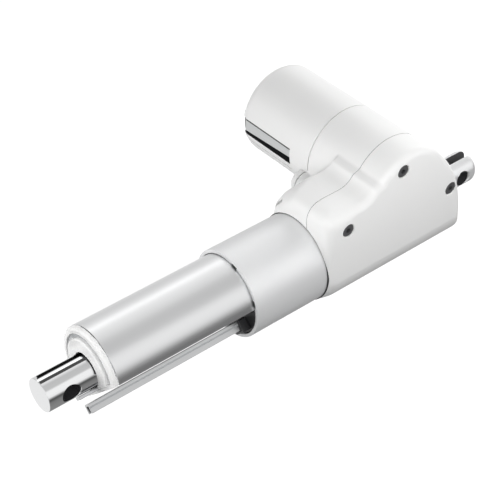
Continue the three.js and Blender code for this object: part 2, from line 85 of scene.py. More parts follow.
# Spaces in the housing along the spindle, as (radius, from x, to x)
SPINDLE_SPACES = {
    "worm wheel": (25.4, 56, 74.5),
    "rear bearing": (13.3, 47.3, 57),
    "front bearing": (15.3, 74, 84.3),
    "spindle": (7, 43, 108),
    "behind the tubes": (22, 88, 106),
}


# ------------------------------------------------------------------ outlines
def arc(cu, cv, r, start, end, steps):
    angles = [math.radians(start + (end - start) * i / steps) for i in range(steps + 1)]
    return [(cu + r * math.cos(a), cv + r * math.sin(a)) for a in angles]


def soften(points, rounds=2):
    """Cuts the corners of an open run of points, keeping its ends."""
    for _ in range(rounds):
        made = [points[0]]
        for (a, b), (c, d) in zip(points, points[1:]):
            made += [(0.75 * a + 0.25 * c, 0.75 * b + 0.25 * d), (0.25 * a + 0.75 * c, 0.25 * b + 0.75 * d)]
        points = made + [points[-1]]
    return points


def inset(outline, depth):
    """Moves every side of a closed outline inward by depth."""
    if depth == 0:
        return list(outline)
    points = [Vector(p) for p in outline]
    count = len(points)
    area = sum(points[i - 1].cross(points[i]) for i in range(count))
    side = 1 if area > 0 else -1
    made = []
    for i, p in enumerate(points):
        before = (p - points[i - 1]).normalized()
        after = (points[(i + 1) % count] - p).normalized()
        n1 = Vector((-before.y, before.x)) * side
        n2 = Vector((-after.y, after.x)) * side
        made.append(tuple(p + (n1 + n2) * depth / (1 + n1.dot(n2))))
    return made


def flatted_circle(r, distance, steps=150):
    """Section of a round bar or bore with one flat, as (y, z) points."""
    half = math.degrees(math.acos(distance / r))
    return arc(0, 0, r, FLAT_ANGLE + half, FLAT_ANGLE + 360 - half, steps)


def stations(low, high, round_low=0.0, round_high=0.0, steps=8):
    """(position, inset) pairs along a prism whose end edges are rounded."""
    quarter = [math.radians(90 * i / steps) for i in range(steps + 1)]
    made = [(low, 0), (high, 0)]
    if round_low:
        made[:1] = [(low + round_low * (1 - math.cos(a)), round_low * (1 - math.sin(a))) for a in quarter]
    if round_high:
        ends = [(round_high * (1 - math.sin(a)), round_high * (1 - math.cos(a))) for a in quarter]
        made[-1:] = [(high - back, depth) for back, depth in ends]
    return made


# ------------------------------------------------------------------ solids
def make(name, vertices, faces):
    mesh = bpy.data.meshes.new(name)
    mesh.from_pydata([Vector(v) * MM for v in vertices], [], [list(f) for f in faces])
    b = bmesh.new()
    b.from_mesh(mesh)
    bmesh.ops.remove_doubles(b, verts=b.verts, dist=1e-8)
    bmesh.ops.recalc_face_normals(b, faces=b.faces)
    b.to_mesh(mesh)
    b.free()
    obj = bpy.data.objects.new(name, mesh)
    scene.collection.objects.link(obj)
    return obj


def lathe(profile, axis="X", centre=(0, 0), sides=128):
    """Turns a closed (radius, station) profile about X, or about Y through centre (x, z)."""
    vertices, rings = [], []
    for r, s in profile:
        ring = []
        for i in range(1 if r == 0 else sides):
            a = 2 * math.pi * i / sides
            u, v = r * math.cos(a), r * math.sin(a)
            ring.append(len(vertices))
            vertices.append((s, u, v) if axis == "X" else (centre[0] + u, s, centre[1] + v))
        rings.append(ring)
    pairs = list(zip(rings, rings[1:]))
    if profile[0][0] or profile[-1][0]:
        pairs.append((rings[-1], rings[0]))
    faces = []
    for a, b in pairs:
        for i in range(sides):
            j = (i + 1) % sides
            corners = [a[i % len(a)], a[j % len(a)], b[j % len(b)], b[i % len(b)]]
            corners = list(dict.fromkeys(corners))
            if len(corners) > 2:
                faces.append(corners)
    return make("lathe", vertices, faces)


def prism(outline, layers, axis):
    """Stacks an outline at (position, inset) layers: (y, z) points along X, or (x, z) points along Y."""
    vertices, faces = [], []
    count = len(outline)
    for at, depth in layers:
        for u, v in inset(outline, depth):
            vertices.append((at, u, v) if axis == "X" else (u, at, v))
    for k in range(len(layers) - 1):
        for i in range(count):
            j = (i + 1) % count
            faces.append((k * count + i, k * count + j, (k + 1) * count + j, (k + 1) * count + i))
    faces.append(range(count))
    faces.append(range((len(layers) - 1) * count, len(layers) * count))
    return make("prism", vertices, faces)


def box(x0, x1, y0, y1, z0, z1):
    return prism([(y0, z0), (y1, z0), (y1, z1), (y0, z1)], [(x0, 0), (x1, 0)], "X")


def rod_x(r, x0, x1, sides=96):
    return lathe([(0, x0), (r, x0), (r, x1), (0, x1)], sides=sides)


def ring_x(r0, r1, x0, x1, sides=128):
    return lathe([(r0, x0), (r1, x0), (r1, x1), (r0, x1)], sides=sides)


def rod_y(r, y0, y1, x, z, sides=96):
    return lathe([(0, y0), (r, y0), (r, y1), (0, y1)], "Y", (x, z), sides)


def ring_y(r0, r1, y0, y1, x, z, sides=64):
    return lathe([(r0, y0), (r1, y0), (r1, y1), (r0, y1)], "Y", (x, z), sides)


def turned(obj, degrees):
    """Turns a solid about the X axis, from facing +Y towards +Z."""
    c, s = math.cos(math.radians(degrees)), math.sin(math.radians(degrees))
    for v in obj.data.vertices:
        y, z = v.co.y, v.co.z
        v.co.y, v.co.z = c * y - s * z, s * y + c * z
    return obj


def flat_side(obj):
    return turned(obj, FLAT_ANGLE)


def settle(obj):
    """Applies the modifiers of an object to its mesh."""
    graph = bpy.context.evaluated_depsgraph_get()
    mesh = bpy.data.meshes.new_from_object(obj.evaluated_get(graph))
    obj.modifiers.clear()
    obj.data = mesh
    return obj


def combine(obj, operation, others):
    for other in others:
        modifier = obj.modifiers.new("combine", "BOOLEAN")
        modifier.operation = operation
        modifier.solver = "MANIFOLD"
        modifier.object = other
    settle(obj)
    for other in others:
        bpy.data.objects.remove(other)
    return obj


def cut(obj, *others):
    return combine(obj, "DIFFERENCE", others)


def join(obj, *others):
    return combine(obj, "UNION", others)


def common(obj, *others):
    return combine(obj, "INTERSECT", others)


def copy(obj):
    made = bpy.data.objects.new(obj.name, obj.data.copy())
    scene.collection.objects.link(made)
    return made


def hull(points):
    mesh = bpy.data.meshes.new("hull")
    b = bmesh.new()
    for p in points:
        b.verts.new(Vector(p) * MM)
    made = bmesh.ops.convex_hull(b, input=b.verts)
    spare = [v for v in made["geom_interior"] + made["geom_unused"] if isinstance(v, bmesh.types.BMVert)]
    bmesh.ops.delete(b, geom=list(set(spare)), context="VERTS")
    bmesh.ops.recalc_face_normals(b, faces=b.faces)
    b.to_mesh(mesh)
    b.free()
    obj = bpy.data.objects.new("hull", mesh)
    scene.collection.objects.link(obj)
    return obj


def bevel(obj, width, segments=3, angle=35):
    """Rounds the sharp edges of a solid."""
    b = bmesh.new()
    b.from_mesh(obj.data)
    bmesh.ops.dissolve_limit(b, angle_limit=math.radians(0.4), verts=b.verts, edges=b.edges)
    b.to_mesh(obj.data)
    b.free()
    modifier = obj.modifiers.new("bevel", "BEVEL")
    modifier.width = width * MM
    modifier.segments = segments
    modifier.limit_method = "ANGLE"
    modifier.angle_limit = math.radians(angle)
    modifier.use_clamp_overlap = True
    return settle(obj)


def piece(obj, name, body, slot, material, *stands_for, sharp=32):
    """Names a finished piece, gives it its material and sets it on its CAD body."""
    obj.name = name
    obj.data.name = name
    obj.data.materials.clear()
    obj.data.materials.append(material)
    obj.data.shade_smooth()
    obj.data.set_sharp_from_angle(angle=math.radians(sharp))
    weighted = obj.modifiers.new("normals", "WEIGHTED_NORMAL")
    weighted.keep_sharp = True
    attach(obj, body)
    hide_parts(*stands_for)
    return obj


def second_look(obj, look, chosen):
    """Gives another material to the faces that chosen(centre in mm, normal) picks."""
    obj.data.materials.append(look)
    for face in obj.data.polygons:
        if chosen(face.center / MM, face.normal):
            face.material_index = len(obj.data.materials) - 1


def shaded_bore_face(x):
    """Picks the inner wall of a pin hole along Y, for painting near black as painted shade inside the hole.
    """
    return lambda p, n: math.hypot(p.x - x, p.z) < PIN_R + 0.3 and abs(n.y) < 0.3


# ------------------------------------------------------------------ materials
def material(name, colour, metallic=0.0, roughness=0.4, vary=0.03, vary_scale=40.0, grain=900.0,
             stretch=1.0, rough_vary=0.06, bump=0.02, specular=0.5):
    """A surface with slow colour variation, finer roughness variation and a fine bump.

    stretch above 1 draws the grain out along X, as on an extruded or drawn piece.
    """
    made = bpy.data.materials.new(name)
    made.use_nodes = True
    tree = made.node_tree
    add, link = tree.nodes.new, tree.links.new
    shader = tree.nodes["Principled BSDF"]
    shader.inputs["Metallic"].default_value = metallic
    shader.inputs["Specular IOR Level"].default_value = specular
    place = add("ShaderNodeTexCoord")
    slow = add("ShaderNodeTexNoise")
    slow.inputs["Scale"].default_value = vary_scale
    slow.inputs["Detail"].default_value = 3
    link(place.outputs["Object"], slow.inputs["Vector"])
    tone = add("ShaderNodeMix")
    tone.data_type = "RGBA"
    tone.inputs["A"].default_value = (*[c * (1 - vary) for c in colour], 1)
    tone.inputs["B"].default_value = (*[min(1, c * (1 + vary)) for c in colour], 1)
    link(slow.outputs["Fac"], tone.inputs["Factor"])
    link(tone.outputs["Result"], shader.inputs["Base Color"])
    scaled = add("ShaderNodeMapping")
    scaled.inputs["Scale"].default_value = (1 / stretch, 1, 1)
    link(place.outputs["Object"], scaled.inputs["Vector"])
    fine = add("ShaderNodeTexNoise")
    fine.inputs["Scale"].default_value = grain
    fine.inputs["Detail"].default_value = 4
    link(scaled.outputs["Vector"], fine.inputs["Vector"])
    rough = add("ShaderNodeMapRange")
    rough.inputs["To Min"].default_value = max(0.01, roughness - rough_vary)
    rough.inputs["To Max"].default_value = roughness + rough_vary
    link(fine.outputs["Fac"], rough.inputs["Value"])
    link(rough.outputs["Result"], shader.inputs["Roughness"])
    relief = add("ShaderNodeBump")
    relief.inputs["Strength"].default_value = bump
    relief.inputs["Distance"].default_value = 0.0002
    link(fine.outputs["Fac"], relief.inputs["Height"])
    link(relief.outputs["Normal"], shader.inputs["Normal"])
    return made


white = material("white_moulding", (0.86, 0.86, 0.855), roughness=0.34, vary=0.012, grain=2600, bump=0.05)
white_cap = material("white_cap", (0.86, 0.86, 0.855), roughness=0.28, vary=0.012, grain=2200, bump=0.04)
# Grey plastic. It is also used as painted shade on the rail's grooves and on the floor of the cap's groove.
grey = material("grey_plastic", (0.42, 0.43, 0.44), roughness=0.45, grain=1800, bump=0.08)
pale_grey = material("pale_grey_plastic", (0.6, 0.61, 0.61), roughness=0.5, grain=1500, stretch=0.05,
                     bump=0.1, vary=0.08)
# Black plastic for the dark parts. It is also used as painted shade in the housing seam, the motor recess,
# the channel strip's groove and the gap between the tubes.
black_plastic_and_shade = material("dark_plastic", (0.022, 0.022, 0.024), roughness=0.42, grain=1500, bump=0.08,
                         vary=0.15)
seal_rubber = material("seal_rubber", (0.03, 0.03, 0.031), roughness=0.55, grain=1200, bump=0.12, vary=0.15)
rubber = material("black_rubber", (0.012, 0.012, 0.012), roughness=0.6, grain=1200, bump=0.12, vary=0.2)
extruded = material("anodised_tube", (0.86, 0.865, 0.87), metallic=1, roughness=0.3, vary=0.02, grain=1500,
                    stretch=60, rough_vary=0.05, bump=0.03)
satin = material("satin_tube", (0.8, 0.805, 0.81), metallic=0.35, roughness=0.42, vary=0.015, grain=3000,
                 stretch=4, rough_vary=0.04, bump=0.05)
rail_metal = material("rail_aluminium", (0.62, 0.625, 0.63), metallic=1, roughness=0.3, grain=1500,
                      stretch=60, bump=0.04)
chrome = material("hard_chrome", (0.9, 0.905, 0.91), metallic=1, roughness=0.06, vary=0.01, grain=700,
                  rough_vary=0.015, bump=0.004)
steel = material("plated_steel", (0.58, 0.585, 0.6), metallic=1, roughness=0.24, vary=0.05, grain=1600,
                 stretch=12, bump=0.05)
bright_steel = material("bright_steel", (0.86, 0.865, 0.87), metallic=0.6, roughness=0.3, vary=0.04,
                        grain=1600, stretch=6, bump=0.05)
# Dark steel for the screws. It is also used as painted shade on the inner faces of the fork's slot.
dark_screw_and_slot_shade = material("dark_screw_and_slot_shade", (0.13, 0.13, 0.135), metallic=0.6, roughness=0.4, vary=0.15,
                       grain=2200, bump=0.06)
# Near-black paint for the walls of the pin holes: painted shade inside the holes.
painted_bore_shade = material("painted_bore_shade", (0.05, 0.05, 0.055), metallic=0.5, roughness=0.5, vary=0.2, grain=1800,
                      bump=0.1)
bar_steel = material("bar_steel", (0.62, 0.625, 0.64), metallic=1, roughness=0.24, vary=0.03, grain=1600,
                     stretch=40, rough_vary=0.03, bump=0.008)
ground = material("ground_steel", (0.5, 0.51, 0.53), metallic=1, roughness=0.22, vary=0.05, grain=2400,
                  bump=0.04)
bronze = material("machined_bronze", (0.62, 0.42, 0.18), metallic=1, roughness=0.33, vary=0.08, grain=1400,
                  bump=0.08)
copper = material("enamelled_copper", (0.62, 0.25, 0.11), metallic=1, roughness=0.3, vary=0.12, grain=2600,
                  bump=0.3)
magnet = material("sintered_magnet", (0.06, 0.062, 0.068), metallic=0.4, roughness=0.55, vary=0.1,
                  bump=0.15)
board = material("circuit_board", (0.03, 0.14, 0.06), roughness=0.35, vary=0.15, grain=1800, bump=0.1)

# ------------------------------------------------------------------ gear housing
lobe = arc(MOTOR_X, MOTOR_Z, MOTOR_R, 37.5, 142.5, 60)
rear_slope = soften([lobe[-1], (33, 38), (26, 25), (HOUSING_REAR + 1.5, 10),
                     (HOUSING_REAR, -HOUSING_R + 12)])
housing_outline = [
    *arc(HOUSING_REAR + 12, -HOUSING_R + 12, 12, 180, 270, 16)[1:],
    (BLOCK_START, -HOUSING_R),
    (BLOCK_START, HOUSING_TOP),
    *arc(SADDLE_X, HOUSING_TOP + 12, 12, 270, 212, 16),
    *lobe[:-1],
    *rear_slope[:-1],
]
round_side = math.degrees(math.acos(FACE_Y / HOUSING_R))
# The lower arcs are drawn a little small, so the finished skin stays inside the CAD part's box.
lower_r = HOUSING_R - 0.08
lower_edge = arc(0, 0, lower_r, 252, 360 - round_side, 48)
back_edge = soften([(-10, HOUSING_TOP), (-13.8, 38.8), (-19.5, 32), (-25, 23), (BACK_Y, 10),
                    (BACK_Y, -8.6)])
back_edge += arc(0, 0, HOUSING_R, 200, 248, 20)
lobe_top = MOTOR_Z + MOTOR_R + 1
housing_section = [*lower_edge, (FACE_Y, lobe_top), (-8, lobe_top), (-8.4, 50), (-9, 45), *back_edge]
top_corner = arc(FACE_Y - FACE_ROUND, HOUSING_TOP - FACE_ROUND, FACE_ROUND, 0, 90, 10)
block_section = [*lower_edge, *top_corner, *back_edge]

inner_round = lower_r - FRONT_ROUND
ball_centres = [
    *arc(0, 0, inner_round, 200, 347, 28),
    (FACE_Y - FRONT_ROUND, HOUSING_TOP - FRONT_ROUND),
    (-4.5, HOUSING_TOP - FRONT_ROUND - 1),
    (-10.5, 28),
    (-15, 21),
    (BACK_Y + FRONT_ROUND, 6),
]
block_points = [(x, y, z) for x in (90, BLOCK_START) for y, z in block_section]
lip_centres = arc(0, 0, LIP_R, 215, 375, 40)
for centres, r in ((ball_centres, FRONT_ROUND), (lip_centres, LIP_ROUND)):
    for y, z in centres:
        for angle in range(0, 90, 9):
            out = r * math.cos(math.radians(angle))
            forward = r * math.sin(math.radians(angle))
            block_points += [(HOUSING_FRONT - r + forward, u, v) for u, v in arc(y, z, out, 0, 354, 59)]
        block_points.append((HOUSING_FRONT, y, z))


def motor_space():
    return rod_y(MOTOR_R + 0.6, -40, MOTOR_SEAM - 0.2, MOTOR_X, MOTOR_Z)


housing = prism(housing_outline, stations(BACK_Y, FACE_Y, 4, FACE_ROUND), "Y")
common(housing, prism(housing_section, [(0, 0), (140, 0)], "X"))
join(housing, hull(block_points), rod_y(MOTOR_R, MOTOR_SEAM, 8, MOTOR_X, MOTOR_Z, 128))
join(housing, cut(rod_y(PLUG_R + 0.5, -29.5, -22, PLUG_X, PLUG_Z), motor_space()))
skin = housing.modifiers.new("skin", "REMESH")
skin.mode = "VOXEL"
skin.voxel_size = 0.7 * MM
smooth = housing.modifiers.new("smooth", "SMOOTH")
smooth.factor = 0.5
smooth.iterations = 5
settle(housing)

motor_chamber = cut(
    rod_y(MOTOR_SHELL_R, -14, FACE_Y - 4, MOTOR_X, MOTOR_Z),
    rod_y(COLUMN_R, -15, FACE_Y, *SCREW_SITES[2], sides=32),
)
cut(motor_chamber, ring_y(8.2, 10.5, 18.5, FACE_Y, MOTOR_X, MOTOR_Z))
cut(housing, motor_chamber)
for space_r, space_rear, space_front in SPINDLE_SPACES.values():
    cut(housing, rod_x(space_r, space_rear, space_front))
cut(housing, rod_x(SOCKET_R, 105, 128, 160))
cut(housing, rod_x(SEAL_R + 0.03, SEAL_REAR - GAP, 129, 160))
cut(housing, rod_x(ROD_R + GAP, 0, CLEVIS_FRONT + GAP))
cut(housing, rod_x(CLEVIS_COLLAR_R + GAP, CLEVIS_COLLAR_REAR - GAP, CLEVIS_COLLAR_FRONT + GAP))
cut(housing, rod_y(END_PLATE_R, -30, END_PLATE_SEAT, MOTOR_X, MOTOR_Z))
cut(housing, rod_y(WORM_SEAT_R, WORM_SEAT_REAR, WORM_SEAT_FRONT, MOTOR_X, MOTOR_Z, 48))
cut(housing, rod_y(PLUG_PIN_R + GAP, -30, PLUG_ROOT + GAP, PLUG_X, PLUG_Z))
for x, z in SCREW_SITES:
    cut(housing, rod_y(SCREW_HOLE_R, SCREW_HOLE_END, HEAD_BOTTOM, x, z, 32))
    mouth = [(0, HEAD_BOTTOM - GAP), (HEAD_R + 0.15, HEAD_BOTTOM - GAP), (HEAD_R + 0.15, FACE_Y - 0.3),
             (HEAD_R + 0.55, FACE_Y + 0.1), (HEAD_R + 0.55, FACE_Y + 1), (0, FACE_Y + 1)]
    cut(housing, lathe(mouth, "Y", (x, z), 48))
cut(housing, turned(box(121.5, 130, 30.5, 32.1, -14.6, -2.6), 139))

cover = copy(housing)
common(housing, box(0, 140, -60, SPLIT_Y, -60, 90))
common(cover, box(0, 140, SPLIT_Y + SEAM, 60, -60, 90))
piece(housing, "gear_housing", "root", "white_shell", white, "housing_body")
piece(cover, "gear_housing_cover", "root", "white_shell", white, "housing_cover")
# The faces on the split plane are painted black: painted shade in the seam between housing and cover.
for shell in (housing, cover):
    second_look(shell, black_plastic_and_shade, lambda p, n: (
        abs(n.y) > 0.99 and SPLIT_Y - 0.1 < p.y < SPLIT_Y + SEAM + 0.1))

plug = lathe([(0, PLUG_OUT), (PLUG_R - PLUG_ROUND, PLUG_OUT),
              *arc(PLUG_R - PLUG_ROUND, -32.4, PLUG_ROUND, 270, 360, 10)[1:], (PLUG_R, PLUG_SEAT),
              (PLUG_PIN_R, PLUG_SEAT), (PLUG_PIN_R, PLUG_ROOT), (0, PLUG_ROOT)], "Y", (PLUG_X, PLUG_Z), 96)
piece(cut(plug, motor_space()), "cable_plug", "root", "grey_plastic", white_cap, "connector_insert")

for i, (x, z) in enumerate(SCREW_SITES):
    screw = lathe([(0, SHANK_END), (SHANK_R, SHANK_END), (SHANK_R, HEAD_BOTTOM), (HEAD_R, HEAD_BOTTOM),
                   (HEAD_R, HEAD_TOP - 0.5), (HEAD_R - 0.4, HEAD_TOP), (0, HEAD_TOP)], "Y", (x, z), 48)
    cut(screw, rod_y(HEX_R, HEAD_TOP - 2, HEAD_TOP + 1, x, z, 6))
    piece(screw, f"recessed_screw_{i + 1}", "root", "steel", dark_screw_and_slot_shade, f"cover_screw_{i + 1}")

# ------------------------------------------------------------------ motor casing
cover_start = MOTOR_SEAM - MOTOR_GAP
casing = lathe([
    (0, MOTOR_END), (MOTOR_R - 8, MOTOR_END + 0.3),
    *[(MOTOR_R - 7 + u, MOTOR_END + 7.5 + v) for u, v in arc(0, 0, 7, 272, 360, 18)],
    (MOTOR_R, cover_start - 0.08), (MOTOR_R - 0.08, cover_start), (MOTOR_SHELL_R + 0.4, cover_start),
    (MOTOR_SHELL_R + 0.4, MOTOR_END + 6), (MOTOR_SHELL_R - 3, MOTOR_END + 3), (0, MOTOR_END + 3),
], "Y", (MOTOR_X, MOTOR_Z), 160)
backing = common(box(MOTOR_X + 23.7, MOTOR_X + 28, MOTOR_END + 3, RECESS_END + 3, 18, 40),
                 rod_y(MOTOR_R - 1, MOTOR_END + 2, RECESS_END + 6, MOTOR_X, MOTOR_Z, 160))
join(casing, backing)
slot_low, slot_high = RECESS_LOW + 0.9, RECESS_LOW + 3.2
cut(casing, box(RECESS_FLOOR, 100, MOTOR_END - 1, RECESS_END, RECESS_LOW, RECESS_HIGH))
cut(casing, prism([(-85, RECESS_LOW), (RECESS_END, RECESS_LOW), (RECESS_END, slot_high), (-85, slot_low)],
                  [(87, 0), (91, 0)], "X"))
cut(casing, box(RECESS_FLOOR, 100, MOTOR_END - 1, RECESS_END, CASING_LINE_LOW, CASING_LINE_HIGH))
piece(casing, "motor_casing", "root", "white_shell", white, "motor_cover")


def shaded_recess(p, n):
    """Picks the floor and the lower wall of the motor's recess, for painting black as painted shade in the
    recess.
    """
    floor_face = abs(n.x) > 0.9 and MOTOR_X + 20 < p.x < RECESS_FLOOR + 0.1
    between = RECESS_LOW - 0.1 < p.z < RECESS_HIGH + 0.1
    lower_wall = n.z > 0.9 and abs(p.z - RECESS_LOW) < 0.1
    return MOTOR_END + 3 < p.y < RECESS_END and (floor_face and between or lower_wall)


# The recess floor and its lower wall are painted black as painted shade.
second_look(casing, black_plastic_and_shade, shaded_recess)

strip_top = RECESS_HIGH - 1.3
strip_outline = [(-87.6, slot_low), (RECESS_END - GAP, slot_high), (RECESS_END - GAP, strip_top),
                 (-87.6, strip_top)]
strip = prism(strip_outline, stations(RECESS_FLOOR + 0.1, RECESS_FLOOR + 1.4, 0, 0.25, 3), "X")
cut(strip, box(RECESS_FLOOR + 1.3, RECESS_FLOOR + 2, -87, RECESS_END - 1, strip_top - 1.5, strip_top - 0.5))
piece(strip, "channel_strip", "root", "grey_plastic", pale_grey, "cable_channel")
# The groove near the strip's top is painted black: painted shade under the recess's upper edge.
second_look(strip, black_plastic_and_shade, lambda p, n: abs(p.z - strip_top + 1) < 0.6 and p.x > RECESS_FLOOR + 1.2)

# ------------------------------------------------------------------ tubes
outer = lathe([(OUTER_BORE, OUTER_REAR), (OUTER_R, OUTER_REAR), (OUTER_R, OUTER_FRONT - 0.5),
               (OUTER_R - 0.15, OUTER_FRONT - 0.15), (OUTER_R - 0.5, OUTER_FRONT),
               (OUTER_BORE + 0.3, OUTER_FRONT),
               (OUTER_BORE, OUTER_FRONT - 0.3)], sides=192)
cut(outer, turned(box(161, 164.5, 20, 30, -0.7, 0.7), -34))
for i, angle in enumerate(KEY_ANGLES):
    cut(outer, turned(box(OUTER_FRONT - 6.5, OUTER_FRONT + 1, 24, 26.2, -2.2, 2.2), angle))
    key = bevel(box(OUTER_FRONT - 6.2, OUTER_FRONT - 0.1, OUTER_BORE + 0.1, 25.9, -1.9, 1.9), 0.2, 2)
    turned(key, angle)
    piece(key, f"mouth_key_{i + 1}", "root", "dark_plastic", black_plastic_and_shade, f"tube_key_{i + 1}")
piece(outer, "outer_sleeve", "root", "aluminium", satin, "outer_tube")

inner_bore, inner_flat = INNER_R - INNER_WALL, FLAT_AT - INNER_WALL
inner = prism(flatted_circle(INNER_R, FLAT_AT, 180), stations(INNER_REAR, INNER_FRONT, 0, 0.25, 3), "X")
inner_ends = [(INNER_REAR - 1, 0), (INNER_FRONT + 1, 0)]
cut(inner, prism(flatted_circle(inner_bore, inner_flat, 150), inner_ends, "X"))
piece(inner, "inner_sleeve", "root", "aluminium", extruded, "inner_tube")
# A black ring fills the thin gap between the tubes at the outer tube's mouth: painted shade in that gap,
# not a part of the actuator.
gap_shade_ring = ring_x(INNER_R + 0.03, OUTER_BORE - 0.03, 170, OUTER_FRONT - 0.4, 192)
cut(gap_shade_ring, flat_side(box(160, 180, FLAT_AT - 2, 40, -30, 30)))
for angle in KEY_ANGLES:
    cut(gap_shade_ring, turned(box(160, 180, 24, 27, -2.3, 2.3), angle))
piece(gap_shade_ring, "mouth_gap_shade", "root", "dark_plastic", black_plastic_and_shade)

seal = ring_x(OUTER_R + 0.04, SEAL_R, SEAL_REAR, SEAL_FRONT, 160)
piece(seal, "housing_seal", "root", "rubber", seal_rubber, "tube_gasket")

filler = prism(arc(0, 0, OUTER_BORE - GAP, FLAT_ANGLE - 53, FLAT_ANGLE + 53, 70),
               stations(108, OUTER_FRONT - 1.5, 0, 0.3, 3), "X")
cut(filler, flat_side(box(100, 180, 0, FLAT_AT + GAP, -30, 30)))
cut(filler, flat_side(box(RAIL_REAR - 1, 180, 10, RAIL_OUT + GAP, -RAIL_HALF - GAP, RAIL_HALF + GAP)))
piece(filler, "flat_filler", "root", "dark_plastic", black_plastic_and_shade, "profile_filler")

rail = box(RAIL_REAR, RAIL_FRONT, RAIL_IN, RAIL_OUT, -RAIL_HALF, RAIL_HALF)
rail_wall = 1.2
cut(rail, box(RAIL_REAR - 1, RAIL_FRONT + 1, RAIL_IN + rail_wall, RAIL_OUT + 1,
              -RAIL_HALF + rail_wall, RAIL_HALF - rail_wall))
bevel(rail, 0.25)
for side in (-1, 1):
    cut(rail, box(RAIL_REAR - 1, RAIL_FRONT + 1, RAIL_GROOVE_LOW, RAIL_GROOVE_HIGH,
                  side * RAIL_HALF - RAIL_GROOVE_DEPTH, side * RAIL_HALF + RAIL_GROOVE_DEPTH))
piece(flat_side(rail), "underside_rail", "root", "aluminium", rail_metal, "cable_rail")


def shaded_rail_groove(p, n):
    """Picks the faces of the two grooves along the rail's sides, for painting grey as painted shade in the
    grooves.
    """
    height = (p.y - p.z) / math.sqrt(2)
    aside = abs(p.y + p.z) / math.sqrt(2)
    inside = RAIL_HALF - 0.5 < aside < RAIL_HALF - 0.1
    return RAIL_GROOVE_LOW - 0.1 < height < RAIL_GROOVE_HIGH + 0.1 and inside


# The rail's grooves are painted grey: painted shade.
second_look(rail, grey, shaded_rail_groove)

clip = box(OUTER_FRONT - 1.2, OUTER_FRONT + 4, RAIL_IN, RAIL_OUT + 1.8, -RAIL_HALF - 1.8, RAIL_HALF + 1.8)
cut(clip, box(OUTER_FRONT - 2, OUTER_FRONT + 5, RAIL_IN - 3, RAIL_OUT + GAP,
              -RAIL_HALF - GAP, RAIL_HALF + GAP))
piece(flat_side(bevel(clip, 0.35)), "rail_holder", "root", "dark_plastic", black_plastic_and_shade, "rail_clip")

# ------------------------------------------------------------------ front end
def outside_flat(distance):
    return flat_side(box(200, 300, distance, 60, -60, 60))


def bar_slot():
    return flat_side(box(200, 300, 0, BAR_OUT + GAP, -BAR_HALF - GAP, BAR_HALF + GAP))


flange = lathe([(0, INNER_FRONT + GAP), (INNER_R - 0.3, INNER_FRONT + GAP),
                (INNER_R, INNER_FRONT + GAP + 0.3),
                *arc(INNER_R - FLANGE_ROUND, FLANGE_FRONT - FLANGE_ROUND, FLANGE_ROUND, 0, 90, 14),
                (0, FLANGE_FRONT)], sides=192)
cut(flange, outside_flat(FLAT_AT))
collar = lathe([(0, CAP_FRONT - 2), (COLLAR_R, CAP_FRONT - 2),
                *arc(COLLAR_R - COLLAR_ROUND, CAP_FRONT + 0.9 - COLLAR_ROUND, COLLAR_ROUND, 0, 90, 8),
                (0, CAP_FRONT + 0.9)], sides=160)
cut(collar, outside_flat(COLLAR_FLAT))
cap_plug = rod_x(inner_bore - GAP, INNER_FRONT - 12, INNER_FRONT + 1, 128)
cut(cap_plug, outside_flat(inner_flat - GAP))
groove = ring_x(COLLAR_R, CAP_GROOVE_R, CAP_GROOVE_FLOOR, CAP_FRONT + 3, 160)
cut(groove, outside_flat(COLLAR_FLAT))
join(flange, collar, cap_plug)
cut(flange, rod_x(ROD_R + GAP, 240, 290), rod_x(WIPER_R, CAP_FRONT - 2.2, 290), bar_slot(), groove)
piece(flange, "front_cap", "root", "white_shell", white_cap, "end_cap")
# The floor of the cap's groove is painted grey: painted shade in the groove.
second_look(flange, grey, lambda p, n: (
    n.x > 0.9 and COLLAR_R < math.hypot(p.y, p.z) < CAP_GROOVE_R and abs(p.x - CAP_GROOVE_FLOOR) < 0.1))

wiper = lathe([(ROD_R + GAP, CAP_FRONT - 2), (WIPER_R - 0.05, CAP_FRONT - 2),
               (WIPER_R - 0.05, CAP_FRONT + 0.6), (ROD_R + GAP, CAP_FRONT + 0.3)], sides=128)
piece(cut(wiper, bar_slot()), "wiper_ring", "root", "rubber", rubber, "rod_wiper")
# The cap and the wiper stay out of the chrome's reflections, which the studio cards are placed for.
flange.visible_glossy = False
wiper.visible_glossy = False


def cross_hole(x, flare_r, flare_y):
    """Pin hole along Y with flared mouths."""
    return lathe([(0, -12), (flare_r, -12), (PIN_R, -flare_y), (PIN_R, flare_y), (flare_r, 12), (0, 12)],
                 "Y", (x, 0), 64)


rod = lathe([(0, ROD_BORE_END), (ROD_BORE_R, ROD_BORE_END), (ROD_BORE_R, ROD_REAR), (ROD_R, ROD_REAR),
             (ROD_R, ROD_TIP - 0.7), (ROD_R - 0.2, ROD_TIP - 0.2), (ROD_R - 0.7, ROD_TIP), (0, ROD_TIP)],
            sides=160)
piece(cut(rod, cross_hole(ROD_HOLE_X, 7.2, 8.4)), "chromed_rod", "rod", "chrome", chrome, "piston_rod")
# The rod's pin hole wall is painted near black: painted shade.
second_look(rod, painted_bore_shade, shaded_bore_face(ROD_HOLE_X))

bar = flat_side(bevel(box(118, 284, BAR_IN, BAR_OUT, -BAR_HALF, BAR_HALF), 0.3))
piece(bar, "side_bar", "rod", "steel", bar_steel, "guide_bar")

